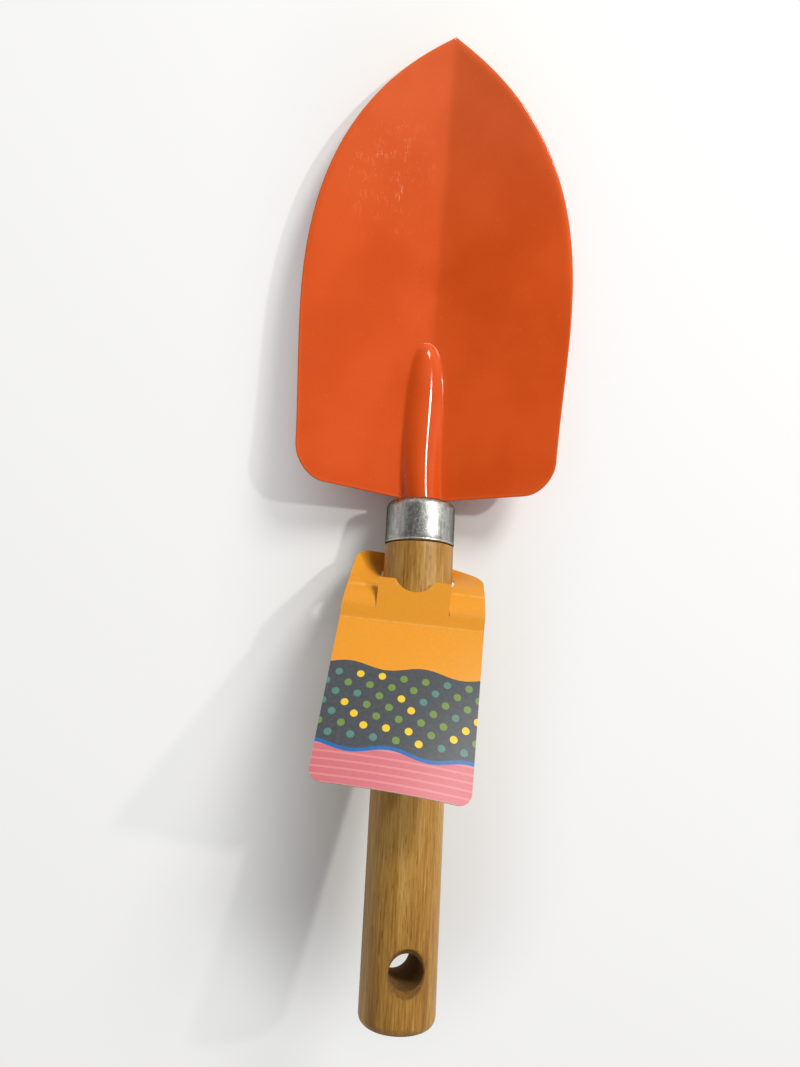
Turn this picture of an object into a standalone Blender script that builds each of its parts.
"""Garden trowel: a pressed steel blade, a drawn ferrule, a turned wooden handle and a folded card tag.

Frame: metres, +Z up, +Y towards the blade's tip, +X to the right with the scoop facing up. The tool lies on
a table, on the ferrule's shoulder and the blade's belly, and the origin is the centre of its footprint.

Four empties hang on one another from the table frame:
- blade frame: Y along the valley, Z = 0 at the valley floor where the belly is lowest;
- handle frame: Z along the handle towards the butt, Z = 0 at the ferrule's open rim, Y up;
- tag slide axis: Z along the card's own middle line, turned a little on the handle;
- tag fold axis: X along the card's second fold, which the hanging panel turns about.
"""

import math

import bpy
import bmesh
import numpy as np
from mathutils import Vector

MM = 0.001

# Blade: valley, long curve and outline
SHEET_THICKNESS = 1.5 * MM
VALLEY_SLOPE = math.tan(math.radians(13.7))
VALLEY_RADIUS = 1.5 * MM
BELLY_Y = 60.0 * MM
LONG_CURVE = 0.82
BLADE_HALF_WIDTH = 41.45 * MM
TIP_Y = 142.5 * MM
TIP_ARM = (33.1 * MM, 21.6 * MM)
SIDE_ARM_UP = 31.3 * MM
SIDE_ARM_DOWN = 14.0 * MM
HEEL_SLOPE = 0.138
HEEL_Y = 0.8 * MM
HEEL_CORNER_X = 31.0 * MM
SIDE_CORNER = (40.0 * MM, 16.5 * MM)
SIDE_LEAN = 0.3 * MM
CORNER_ARM = 5.0 * MM

# Blade: pressed neck ridge and the tang that runs on from it
RIDGE_NOSE_Y = 51.0 * MM
RIDGE_HEIGHT = 5.4 * MM
RIDGE_HALF_WIDTH = 6.3 * MM
RIDGE_SPREAD_LENGTH = 9.0 * MM
RIDGE_SHIFT = -1.8 * MM
RIDGE_SHIFT_LENGTH = 8.0 * MM
RIDGE_FILLET = 0.6 * MM
RIDGE_REACH = 3.0
NOSE_SHARE = 0.42
NOSE_LENGTH = 2.0 * MM
NECK_HALF_WIDTH = 7.3 * MM
TANG_END_Y = -70.0 * MM
TANG_END_HALF_WIDTH = 3.4 * MM
TANG_POINT = 4.0 * MM
TANG_SHRINK = 0.55
POCKET_LIFT = 0.6 * MM
POCKET_DEPTH = 3.7 * MM
POCKET_FRONT_Y = 4.0 * MM

# Handle and ferrule, along the handle's own axis
RIM_CENTRE = Vector((0.0, -12.4 * MM, 6.2 * MM))
CRANK_ANGLE = math.radians(12.95)
HANDLE_LENGTH = 136.0 * MM
HANDLE_FRONT_RADIUS = 10.56 * MM
HANDLE_MIDDLE_RADIUS = 10.95 * MM
HANDLE_MIDDLE_S = 75.0 * MM
HANDLE_BUTT_RADIUS = 10.92 * MM
BUTT_ROUNDING = 2.8 * MM
FRONT_CHAMFER = 0.3 * MM
FERRULE_LENGTH = 13.5 * MM
FERRULE_RADIUS = 10.65 * MM
FERRULE_WALL = 0.8 * MM
FERRULE_SHOULDER = 2.5 * MM
FERRULE_HOLE_RADIUS = 7.85 * MM
BEAD_RADIUS = 0.45 * MM
BEAD_PROUD = 0.12 * MM
GAP = 0.3 * MM
HANG_HOLE_S = 119.7 * MM
HANG_HOLE_RADIUS = 4.85 * MM
HANG_HOLE_TURN = math.radians(5.4)
HANG_CUTTER_REACH = 13.0 * MM
COUNTERSINK_DEPTH = 1.5 * MM
TURNED_STEPS = 48

# Card tag: its pose on the handle, its folds and its outline
CARD_THICKNESS = 0.5 * MM
TAG_X = -0.45 * MM
TAG_S = 20.0 * MM
TAG_ROLL = math.radians(8.2)
TAG_YAW = math.radians(3.7)
CARD_HALF_WIDTH = 21.0 * MM
FOLD_S = 25.5 * MM
FOLD_HEIGHT = 12.5 * MM
FOLD_GAP = 0.3 * MM
PANEL_LENGTH = 49.8 * MM
PANEL_LIFT = math.radians(27.8)
PANEL_CORNER = 3.6 * MM
PANEL_CORNER_EASE = 0.45
PANEL_DROOP = 2.0 * MM
PANEL_TWIST = 2.5 * MM
SLIT_V = 3.6 * MM
SLIT_WIDTH = 0.3 * MM
TONGUE_LEFT = -10.95 * MM
TONGUE_RIGHT = 10.45 * MM
TONGUE_V = 12.9 * MM
TONGUE_DIP = 0.06
NOTCH_RADIUS = 6.6 * MM
NOTCH_DEPTH = 3.5 * MM
CREASE_V = 11.5 * MM
CREASE_S = 15.1 * MM
CREASE_HEIGHT = 8.2 * MM
CARD_TOP_V = 27.2 * MM
CARD_TOP_CORNER = 3.8 * MM
WINDOW_WIDE_V = 18.0 * MM
WINDOW_TOP_V = 21.5 * MM
WINDOW_LEFT = -12.05 * MM
WINDOW_RIGHT = 11.7 * MM
WINDOW_CORNER = 3.0 * MM
BRIDGE_HEIGHT = -11.9 * MM
TOP_EDGE_S = 2.7 * MM
TOP_EDGE_SLANT = 0.13
TOP_EDGE_BOW = 6.8
STRIP_SLOPE = 1.25
STRIP_SLOPE_TURN = 0.33
STRIP_BEND_POWER = 1.6
WRAP_START_S = 13.5 * MM
WRAP_LENGTH_MIDDLE = 3.5 * MM
WRAP_LENGTH_SIDE = 6.0 * MM
WRAP_POWER = 1.6
DRAW_IN = 1.3 * MM
DRAW_IN_LENGTH = 14.2 * MM
STRIP_NARROWING = 0.024

# How the tool lies on the table, and how finely the sheets are divided
REST_TILT = math.radians(-3.606)
SHEET_HALF_SPAN = 43.0 * MM
SHEET_COLUMNS = 36
SHEET_CENTRE_SHARE = 0.3
SHEET_STOPS = (TANG_END_Y - 5.0 * MM, 0.0, 38.0 * MM, 52.0 * MM, TIP_Y + 2.0 * MM)
SHEET_ROWS = (10, 10, 10, 17)
POCKET_COLUMNS = 14
POCKET_ROWS = (1, 10, 1)
SLOPE_STEP = 0.05 * MM
DEPTH_CAP = 1.3
COLLAR_CELLS = (30, 20)
PANEL_CELLS = (12, 10)
CARD_MARGIN = 1.0 * MM
CUT_LOW = -20.0 * MM
CUT_HIGH = 60.0 * MM
FOLD_STEP = 0.05 * MM
WELD_DISTANCE = 1e-7
SHARP_ANGLE = math.radians(35.0)

PARTS_NAME = "garden_trowel"
CUTTERS_NAME = "cutters"


def lerp(first, second, share):
    return first + (second - first) * share


def clear_scene():
    for scene_object in list(bpy.data.objects):
        bpy.data.objects.remove(scene_object, do_unlink=True)


def new_collection(name):
    collection = bpy.data.collections.new(name)
    bpy.context.scene.collection.children.link(collection)
    return collection


def empty(name, parent, location, turn=(0.0, 0.0, 0.0), order="XYZ"):
    frame = bpy.data.objects.new(name, None)
    frame.empty_display_size = 0.01
    frame.location = location
    frame.rotation_mode = order
    frame.rotation_euler = turn
    frame.parent = parent
    bpy.data.collections[PARTS_NAME].objects.link(frame)
    return frame


def material(name, colour, roughness, metallic):
    finish = bpy.data.materials.new(name)
    finish.use_nodes = True
    shader = finish.node_tree.nodes["Principled BSDF"]
    shader.inputs["Base Color"].default_value = (*colour, 1.0)
    shader.inputs["Roughness"].default_value = roughness
    shader.inputs["Metallic"].default_value = metallic
    return finish


def put(scene_object, parent, collection_name):
    """Keep the object in one collection only, under its frame's empty."""
    for collection in list(scene_object.users_collection):
        collection.objects.unlink(scene_object)
    bpy.data.collections[collection_name].objects.link(scene_object)
    scene_object.parent = parent
    if collection_name == CUTTERS_NAME:
        scene_object.hide_render = True
        scene_object.display_type = "WIRE"


def finished(scene_object, finish):
    """Give a piece its material and smooth shading with sharp edges."""
    scene_object.data.materials.clear()
    scene_object.data.materials.append(finish)
    scene_object.data.shade_smooth()
    scene_object.data.set_sharp_from_angle(angle=SHARP_ANGLE)


def as_mesh(scene_object):
    """Replace an object by the welded mesh of its evaluated shape, in the same place."""
    bpy.context.view_layer.update()
    evaluated = scene_object.evaluated_get(bpy.context.evaluated_depsgraph_get())
    mesh = bpy.data.meshes.new_from_object(evaluated)
    work = bmesh.new()
    work.from_mesh(mesh)
    bmesh.ops.remove_doubles(work, verts=work.verts, dist=WELD_DISTANCE)
    bmesh.ops.recalc_face_normals(work, faces=work.faces)
    work.to_mesh(mesh)
    work.free()
    name = scene_object.name
    collection_name = scene_object.users_collection[0].name
    parent = scene_object.parent
    place = scene_object.matrix_basis.copy()
    bpy.data.objects.remove(scene_object, do_unlink=True)
    mesh.name = name
    result = bpy.data.objects.new(name, mesh)
    result.matrix_basis = place
    put(result, parent, collection_name)
    return result


def combine(target, tool, operation):
    modifier = target.modifiers.new(tool.name, "BOOLEAN")
    modifier.operation = operation
    modifier.solver = "EXACT"
    modifier.object = tool


def prism(name, knots, low, high, parent, collection_name=CUTTERS_NAME, resolution=10):
    """Fill a closed outline and extrude it along Z.

    Each knot is (point, arm in, arm out), all (x, y); a straight side has no arms (None).
    """
    curve = bpy.data.curves.new(name, "CURVE")
    curve.dimensions = "2D"
    curve.fill_mode = "BOTH"
    curve.extrude = (high - low) / 2
    curve.resolution_u = resolution
    spline = curve.splines.new("BEZIER")
    spline.bezier_points.add(len(knots) - 1)
    spline.use_cyclic_u = True
    for knot, (point, arm_in, arm_out) in zip(spline.bezier_points, knots):
        knot.handle_left_type = "FREE" if arm_in else "VECTOR"
        knot.handle_right_type = "FREE" if arm_out else "VECTOR"
        knot.co = (*point, 0.0)
        knot.handle_left = (*(arm_in or point), 0.0)
        knot.handle_right = (*(arm_out or point), 0.0)
    outline = bpy.data.objects.new(name, curve)
    outline.location.z = (low + high) / 2
    put(outline, parent, collection_name)
    return as_mesh(outline)


def polygon(name, points, low, high, parent):
    """Extrude a closed outline of straight sides along Z."""
    curve = bpy.data.curves.new(name, "CURVE")
    curve.dimensions = "2D"
    curve.fill_mode = "BOTH"
    curve.extrude = (high - low) / 2
    spline = curve.splines.new("POLY")
    spline.points.add(len(points) - 1)
    spline.use_cyclic_u = True
    for knot, point in zip(spline.points, points):
        knot.co = (*point, 0.0, 1.0)
    outline = bpy.data.objects.new(name, curve)
    outline.location.z = (low + high) / 2
    put(outline, parent, CUTTERS_NAME)
    return as_mesh(outline)


def arc(centre, radius, start, end, count=7):
    """Points on a circle, from the start angle to the end angle in degrees."""
    angles = np.radians(np.linspace(start, end, count))
    return [(centre[0] + radius * math.cos(a), centre[1] + radius * math.sin(a)) for a in angles]


def flat_grid(name, cells, parent, collection_name):
    """A flat grid of cells from -1 to 1 each way."""
    bpy.ops.mesh.primitive_grid_add(x_subdivisions=cells[0], y_subdivisions=cells[1], size=2.0)
    grid = bpy.context.object
    grid.name = name
    put(grid, parent, collection_name)
    return grid


def move_points(body, rule):
    """Move each point (a, b, c) of a mesh to the place that rule(a, b, c) gives."""
    flat = np.empty(len(body.data.vertices) * 3)
    body.data.vertices.foreach_get("co", flat)
    body.data.vertices.foreach_set("co", rule(*flat.reshape(-1, 3).T).ravel())
    body.data.update()


def turned(name, profile, parent, collection_name, closed=False):
    """Turn a profile of (radius, z) points about Z."""
    mesh = bpy.data.meshes.new(name)
    count = len(profile)
    edges = [(i, i + 1) for i in range(count - 1)]
    if closed:
        edges.append((count - 1, 0))
    mesh.from_pydata([(radius, 0.0, z) for radius, z in profile], edges, [])
    body = bpy.data.objects.new(name, mesh)
    put(body, parent, collection_name)
    screw = body.modifiers.new("turn", "SCREW")
    screw.axis = "Z"
    screw.angle = math.tau
    screw.steps = TURNED_STEPS
    screw.render_steps = TURNED_STEPS
    screw.use_merge_vertices = True
    screw.merge_threshold = WELD_DISTANCE
    return as_mesh(body)


def behind_nose(y):
    """Distance behind the ridge's nose, 0 in front of it."""
    return np.maximum(RIDGE_NOSE_Y - y, 0.0)


def tang_share(y):
    """0 in front of the heel, 1 at the tang's end."""
    return np.clip(y / TANG_END_Y, 0.0, 1.0)


def valley_height(x):
    """V valley with a round floor."""
    return VALLEY_SLOPE * (np.hypot(x, VALLEY_RADIUS) - VALLEY_RADIUS)


def ridge_half_width(y):
    """The feet spread round a blunt nose, then run nearly parallel, and close again along the tang."""
    spread = np.sqrt(1.0 - np.exp(-behind_nose(y) / RIDGE_SPREAD_LENGTH))
    taper = 1.0 - (1.0 - TANG_END_HALF_WIDTH / RIDGE_HALF_WIDTH) * tang_share(y)
    return RIDGE_HALF_WIDTH * np.maximum(spread, 1e-3) * taper


def ridge_middle(y):
    """The ridge starts in the middle at the heel and runs a little to the left of it."""
    return RIDGE_SHIFT * (1.0 - np.exp(-np.maximum(y, 0.0) / RIDGE_SHIFT_LENGTH))


def ridge_height(x, y):
    """Height over the valley: a round back, a parabola from foot to foot, with a small fillet at each.

    The crest rises at a blunt nose and climbs to the heel.
    """
    behind = behind_nose(y)
    blunt = 1.0 - np.exp(-behind / NOSE_LENGTH)
    climb = (1.0 - NOSE_SHARE) * np.minimum(behind / RIDGE_NOSE_Y, 1.0)
    crest = RIDGE_HEIGHT * (NOSE_SHARE * blunt + climb) * (1.0 - TANG_SHRINK * tang_share(y))
    half = ridge_half_width(y)
    foot = valley_height(half)
    aside = np.minimum(np.abs(x - ridge_middle(y)) / half, RIDGE_REACH) ** 2
    over = (crest - foot) * (1.0 - aside) + foot - valley_height(x)
    return (over + np.hypot(over, RIDGE_FILLET * blunt)) / 2.0


def sheet_height(x, y):
    """Upper face of the pressed sheet: V valley with a round floor, long curve, neck ridge and tang."""
    curve = LONG_CURVE * (np.maximum(y, 0.0) - BELLY_Y) ** 2
    crank = -math.tan(CRANK_ANGLE) * np.minimum(y, 0.0)
    return valley_height(x) + curve + crank + ridge_height(x, y)


def sheet_depth(x, y):
    """Upright thickness of the sheet: its thickness times the secant of its slope, up to a cap."""
    step = SLOPE_STEP
    across = (sheet_height(x + step, y) - sheet_height(x - step, y)) / (2 * step)
    along = (sheet_height(x, y + step) - sheet_height(x, y - step)) / (2 * step)
    return SHEET_THICKNESS * np.minimum(np.sqrt(1.0 + across ** 2 + along ** 2), DEPTH_CAP)


def along_stops(share, stops, counts):
    """Map -1..1 to the stretches between the stops, each divided into its count of even rows."""
    rows = np.cumsum((0,) + counts)
    return np.interp((share + 1.0) / 2 * rows[-1], rows, stops)


def sheet_corner(a, b):
    """Spread a plate's cells over the sheet, finer along its middle and round the ridge's nose."""
    x = SHEET_HALF_SPAN * (SHEET_CENTRE_SHARE * a + (1 - SHEET_CENTRE_SHARE) * a ** 3)
    return x, along_stops(b, SHEET_STOPS, SHEET_ROWS)


def pocket_corner(a, b):
    """Spread a plate's cells over the tang's outline, with a margin round it."""
    margin = 2 * GAP
    taper_end = TANG_END_Y + TANG_POINT - margin
    y = along_stops(b, (TANG_END_Y - margin, taper_end, 0.0, POCKET_FRONT_Y), POCKET_ROWS)
    half = np.interp(y, (taper_end, POCKET_FRONT_Y),
                     (TANG_END_HALF_WIDTH + margin, NECK_HALF_WIDTH + margin))
    return a * half, y


def pressed_plate(name, cells, corner, lift, depth, parent, collection_name):
    """A closed plate whose upper face follows the sheet's, raised by lift.

    corner(a, b) spreads its cells from -1..1 each way, and depth(x, y) is its upright thickness.
    """
    plate = flat_grid(name, cells, parent, collection_name)
    wall = plate.modifiers.new("thickness", "SOLIDIFY")
    wall.thickness = 1.0
    wall.offset = 0.0
    plate = as_mesh(plate)

    def pressed(a, b, c):
        x, y = corner(a, b)
        top = sheet_height(x, y) + lift
        return np.column_stack((x, y, np.where(c > 0.0, top, top - depth(x, y))))

    move_points(plate, pressed)
    return plate


def blade_knots():
    """Outline of blade and tang, counter-clockwise from the tang's point."""
    heel_corner_y = HEEL_Y + HEEL_SLOPE * HEEL_CORNER_X
    neck_y = HEEL_Y + HEEL_SLOPE * NECK_HALF_WIDTH
    side_x, side_y = SIDE_CORNER
    right = [
        ((TANG_END_HALF_WIDTH, TANG_END_Y + TANG_POINT), None, None),
        ((NECK_HALF_WIDTH, neck_y), None, None),
        ((HEEL_CORNER_X, heel_corner_y), None,
         (HEEL_CORNER_X + CORNER_ARM, heel_corner_y + HEEL_SLOPE * CORNER_ARM)),
        ((side_x, side_y), (side_x, side_y - CORNER_ARM), (side_x + SIDE_LEAN, side_y + SIDE_ARM_DOWN)),
        ((BLADE_HALF_WIDTH, BELLY_Y), (BLADE_HALF_WIDTH, BELLY_Y - SIDE_ARM_DOWN),
         (BLADE_HALF_WIDTH, BELLY_Y + SIDE_ARM_UP)),
    ]
    tip_arm = (TIP_ARM[0], TIP_Y - TIP_ARM[1])
    tip = ((0.0, TIP_Y), tip_arm, (-tip_arm[0], tip_arm[1]))
    left = [(mirrored(point), mirrored(arm_out), mirrored(arm_in))
            for point, arm_in, arm_out in reversed(right)]
    return [((0.0, TANG_END_Y), None, None)] + right + [tip] + left


def mirrored(point):
    return (-point[0], point[1]) if point else None


def make_blade(frame, finish):
    cells = (SHEET_COLUMNS, sum(SHEET_ROWS))
    blade = pressed_plate("blade", cells, sheet_corner, 0.0, sheet_depth, frame, PARTS_NAME)
    outline = prism("blade_outline", blade_knots(), CUT_LOW, CUT_HIGH, frame)
    combine(blade, outline, "INTERSECT")
    blade = as_mesh(blade)
    finished(blade, finish)


def pocket_cutter(frame):
    """A channel that clears the tang all round and is open at the handle's front end."""
    cells = (POCKET_COLUMNS, sum(POCKET_ROWS))
    return pressed_plate("tang_pocket", cells, pocket_corner, POCKET_LIFT, lambda x, y: POCKET_DEPTH,
                         frame, CUTTERS_NAME)


def make_handle(frame, blade_frame, finish):
    tenon = FERRULE_RADIUS - FERRULE_WALL - GAP
    tenon_top = -FERRULE_LENGTH + FERRULE_WALL + GAP
    ease = FERRULE_SHOULDER - GAP
    butt = HANDLE_LENGTH
    corner = (HANDLE_BUTT_RADIUS - BUTT_ROUNDING, butt - BUTT_ROUNDING)
    rounding = arc(corner, BUTT_ROUNDING, 90, 0, 8)
    profile = [(0.0, butt)] + rounding + [
        (HANDLE_MIDDLE_RADIUS, HANDLE_MIDDLE_S),
        (HANDLE_FRONT_RADIUS, GAP + FRONT_CHAMFER),
        (HANDLE_FRONT_RADIUS - FRONT_CHAMFER, GAP),
        (tenon, GAP),
        (tenon, tenon_top + ease),
        (tenon - ease, tenon_top),
        (0.0, tenon_top),
    ]
    handle = turned("handle", profile, frame, PARTS_NAME)
    combine(handle, pocket_cutter(blade_frame), "DIFFERENCE")
    combine(handle, hang_hole_cutter(frame), "DIFFERENCE")
    handle = as_mesh(handle)
    finished(handle, finish)


def hang_hole_cutter(frame):
    """A bar across the handle that flares at both ends, for the countersunk hanging hole.

    Its front mouth is turned off the handle's crest towards +X.
    """
    reach = HANG_CUTTER_REACH
    flare_start = HANDLE_BUTT_RADIUS - COUNTERSINK_DEPTH
    wide = HANG_HOLE_RADIUS + reach - flare_start
    profile = [(0.0, reach), (wide, reach), (HANG_HOLE_RADIUS, flare_start),
               (HANG_HOLE_RADIUS, -flare_start), (wide, -reach), (0.0, -reach)]
    cutter = turned("hang_hole", profile, frame, CUTTERS_NAME)
    cutter.rotation_mode = "XYZ"
    cutter.rotation_euler = (math.radians(90.0), 0.0, -HANG_HOLE_TURN)
    cutter.location = (0.0, 0.0, HANG_HOLE_S)
    return cutter


def make_ferrule(frame, finish):
    """A cup: beaded rim at z = 0, straight wall, round shoulder, flat top with the tang's hole."""
    outer, inner = FERRULE_RADIUS, FERRULE_RADIUS - FERRULE_WALL
    bottom, top = 0.0, -FERRULE_LENGTH
    bead_centre = (outer + BEAD_PROUD - BEAD_RADIUS, -BEAD_RADIUS)
    bead = arc(bead_centre, BEAD_RADIUS, 90, -45, 6)
    shoulder = arc((outer - FERRULE_SHOULDER, top + FERRULE_SHOULDER), FERRULE_SHOULDER, 0, -90, 7)
    inner_round = FERRULE_SHOULDER - FERRULE_WALL
    inside = arc((inner - inner_round, top + FERRULE_WALL + inner_round), inner_round, -90, 0, 5)
    profile = bead + [(outer, -3 * BEAD_RADIUS)] + shoulder
    profile += [(FERRULE_HOLE_RADIUS, top), (FERRULE_HOLE_RADIUS, top + FERRULE_WALL)]
    profile += inside + [(inner, bottom)]
    ferrule = turned("ferrule", profile, frame, PARTS_NAME, closed=True)
    finished(ferrule, finish)


def top_edge_s(u):
    """Where the card's top edge lies along the handle: nearest the ferrule just left of the middle."""
    return TOP_EDGE_S + TOP_EDGE_SLANT * u + TOP_EDGE_BOW * u ** 2


def strip_height(u, s):
    """Height of the top strip: it slopes back from the crease and bows round behind the handle."""
    slope = STRIP_SLOPE + STRIP_SLOPE_TURN * u / CARD_HALF_WIDTH
    side = CREASE_HEIGHT - slope * (CREASE_S - s)
    across = np.abs(u) / CARD_HALF_WIDTH
    reach = np.clip((WRAP_START_S - s) / (WRAP_LENGTH_MIDDLE + WRAP_LENGTH_SIDE * across), 0.0, 1.0)
    push = reach * reach * (3.0 - 2.0 * reach)
    wrap = 1.0 - push * (1.0 - across ** WRAP_POWER)
    return BRIDGE_HEIGHT + (side - BRIDGE_HEIGHT) * wrap


def on_tongue(u, v):
    half_slit = SLIT_WIDTH / 2
    between_slits = (u > TONGUE_LEFT - half_slit) & (u < TONGUE_RIGHT + half_slit)
    return between_slits & (v > SLIT_V) & (v < TONGUE_V + half_slit)


def collar_middle(u, v, tongue):
    """Middle surface of the folded card above the panel's fold, from flat (u, v) to tag-frame (x, y, z)."""
    slit_height = FOLD_HEIGHT - TONGUE_DIP * SLIT_V
    bend = np.clip((v - SLIT_V) / (CREASE_V - SLIT_V), 0.0, 1.0)
    beyond = np.clip((v - CREASE_V) / (CARD_TOP_V - CREASE_V), 0.0, 1.0)
    slit_s = FOLD_S - SLIT_V
    strip_s = slit_s - (slit_s - CREASE_S) * bend - (CREASE_S - top_edge_s(u)) * beyond
    strip_h = slit_height - (slit_height - CREASE_HEIGHT) * bend ** STRIP_BEND_POWER
    strip_h = np.where(beyond > 0.0, strip_height(u, strip_s), strip_h)
    straight = tongue | (v <= SLIT_V)
    s = np.where(straight, FOLD_S - v, strip_s)
    height = np.where(straight, FOLD_HEIGHT - TONGUE_DIP * v, strip_h)
    draw_in = DRAW_IN * np.sin(np.clip((v - SLIT_V) / DRAW_IN_LENGTH, 0.0, 1.0) * math.pi) ** 2
    inner = np.clip((CARD_HALF_WIDTH - np.abs(u)) / (CARD_HALF_WIDTH + TONGUE_LEFT), 0.0, 1.0)
    narrowed = u * (1.0 - STRIP_NARROWING * (bend + beyond))
    x = np.where(straight, u, narrowed - draw_in * inner * np.sign(u))
    return np.column_stack((x, height, s - TAG_S))


def folded_collar(u, v, rise):
    """Fold flat card points; rise is the distance in front of the card's middle surface."""
    tongue = on_tongue(u, v)
    middle = collar_middle(u, v, tongue)
    across = collar_middle(u + FOLD_STEP, v, tongue) - collar_middle(u - FOLD_STEP, v, tongue)
    along = collar_middle(u, v + FOLD_STEP, tongue) - collar_middle(u, v - FOLD_STEP, tongue)
    normal = np.cross(across, along)
    normal /= np.linalg.norm(normal, axis=1)[:, None]
    return middle + normal * rise[:, None]


def window_points():
    """The die cut: a slit up each side of the tongue, opening into the window for the handle."""
    half = (WINDOW_LEFT + WINDOW_CORNER, WINDOW_TOP_V - WINDOW_CORNER)
    other = (WINDOW_RIGHT - WINDOW_CORNER, WINDOW_TOP_V - WINDOW_CORNER)
    notch_centre = ((TONGUE_LEFT + TONGUE_RIGHT) / 2, TONGUE_V - NOTCH_DEPTH + NOTCH_RADIUS)
    spread = math.degrees(math.acos((NOTCH_RADIUS - NOTCH_DEPTH) / NOTCH_RADIUS))
    left_slit = TONGUE_LEFT - SLIT_WIDTH
    right_slit = TONGUE_RIGHT + SLIT_WIDTH
    points = [(left_slit, SLIT_V), (left_slit, CREASE_V), (WINDOW_LEFT, WINDOW_WIDE_V)]
    points += arc(half, WINDOW_CORNER, 180, 90)
    points += arc(other, WINDOW_CORNER, 90, 0)
    points += [(WINDOW_RIGHT, WINDOW_WIDE_V), (right_slit, CREASE_V)]
    points += [(right_slit, SLIT_V), (TONGUE_RIGHT, SLIT_V), (TONGUE_RIGHT, TONGUE_V)]
    points += arc(notch_centre, NOTCH_RADIUS, -90 + spread, -90 - spread, 9)
    points += [(TONGUE_LEFT, TONGUE_V), (TONGUE_LEFT, SLIT_V)]
    return points


def card_blank(name, cells, end, outline):
    """Flat card from its fold's gap to its end along +Y, in cells that can bend, cut to an outline."""
    blank = flat_grid(name, cells, None, PARTS_NAME)
    low, high = FOLD_GAP, end + CARD_MARGIN
    half = CARD_HALF_WIDTH + CARD_MARGIN
    move_points(blank, lambda a, b, c: np.column_stack((a * half, lerp(low, high, (b + 1.0) / 2), c)))
    wall = blank.modifiers.new("card", "SOLIDIFY")
    wall.thickness = CARD_THICKNESS
    wall.offset = 0.0
    combine(blank, outline, "INTERSECT")
    return blank


def bent_card(blank, rule, frame, finish):
    """The cut card, each point moved to where rule(u, v, rise) puts it; rise is in front of its middle."""
    card = as_mesh(blank)
    move_points(card, rule)
    card.parent = frame
    finished(card, finish)
    return card


def make_tag_collar(frame, finish):
    """The upper card: tongue before the handle, strips beside it, top strip behind."""
    half, corner = CARD_HALF_WIDTH, CARD_TOP_CORNER
    edge = [(-half, 0.0), (half, 0.0)]
    edge += arc((half - corner, CARD_TOP_V - corner), corner, 0, 90)
    edge += arc((corner - half, CARD_TOP_V - corner), corner, 90, 180)
    outline = polygon("collar_edge", edge, CUT_LOW, CUT_HIGH, None)
    collar = card_blank("tag_collar", COLLAR_CELLS, CARD_TOP_V, outline)
    combine(collar, polygon("collar_window", window_points(), CUT_LOW, CUT_HIGH, None), "DIFFERENCE")
    bent_card(collar, folded_collar, frame, finish)


def drooping_panel(u, v, rise):
    """The panel's sides fall back from its plane towards its lower end, the right one more than the left."""
    across = u / CARD_HALF_WIDTH
    back = (PANEL_DROOP * across ** 2 + PANEL_TWIST * across) * v / PANEL_LENGTH
    return np.column_stack((u, v, rise + back))


def make_tag_panel(frame, finish):
    """The hanging panel: a card with round lower corners, standing off the handle from its fold."""
    half, corner = CARD_HALF_WIDTH, PANEL_CORNER
    arm = corner * PANEL_CORNER_EASE
    low = PANEL_LENGTH
    knots = [
        ((-half, 0.0), None, None),
        ((half, 0.0), None, None),
        ((half, low - corner), None, (half, low - arm)),
        ((half - corner, low), (half - arm, low), None),
        ((corner - half, low), None, (arm - half, low)),
        ((-half, low - corner), (-half, low - arm), None),
    ]
    outline = prism("panel_edge", knots, CUT_LOW, CUT_HIGH, None, resolution=6)
    panel = bent_card(card_blank("tag_panel", PANEL_CELLS, low, outline), drooping_panel, frame, finish)
    panel.rotation_euler = (math.radians(90.0) - PANEL_LIFT, 0.0, 0.0)


def stand_on_table(root):
    """Shift the whole tool so that the origin is the centre of its footprint on the table."""
    bpy.context.view_layer.update()
    corners = []
    for piece in bpy.data.collections[PARTS_NAME].objects:
        if piece.type == "MESH":
            corners += [piece.matrix_world @ vertex.co for vertex in piece.data.vertices]
    box = np.array(corners)
    low, high = box.min(axis=0), box.max(axis=0)
    root.location -= Vector(((low[0] + high[0]) / 2, (low[1] + high[1]) / 2, low[2]))


def main():
    clear_scene()
    new_collection(PARTS_NAME)
    new_collection(CUTTERS_NAME)
    orange = material("orange_powder_coat", (0.68, 0.085, 0.012), 0.32, 0.0)
    zinc = material("zinc_plate", (0.58, 0.56, 0.52), 0.3, 1.0)
    wood = material("varnished_wood", (0.32, 0.16, 0.055), 0.45, 0.0)
    card = material("printed_card", (0.95, 0.38, 0.03), 0.5, 0.0)
    blade_frame = empty("blade_frame", None, (0.0, 0.0, 0.0), (REST_TILT, 0.0, 0.0))
    upright = math.radians(90.0) - CRANK_ANGLE
    handle_frame = empty("handle_frame", blade_frame, RIM_CENTRE, (upright, 0.0, 0.0))
    tag_frame = empty("tag_slide_axis", handle_frame, (TAG_X, 0.0, TAG_S), (0.0, -TAG_YAW, TAG_ROLL), "ZYX")
    panel_frame = empty("tag_fold_axis", tag_frame, (0.0, FOLD_HEIGHT, FOLD_S - TAG_S))
    make_blade(blade_frame, orange)
    make_ferrule(handle_frame, zinc)
    make_handle(handle_frame, blade_frame, wood)
    make_tag_collar(tag_frame, card)
    make_tag_panel(panel_frame, card)
    stand_on_table(blade_frame)


if __name__ == "__main__":
    main()
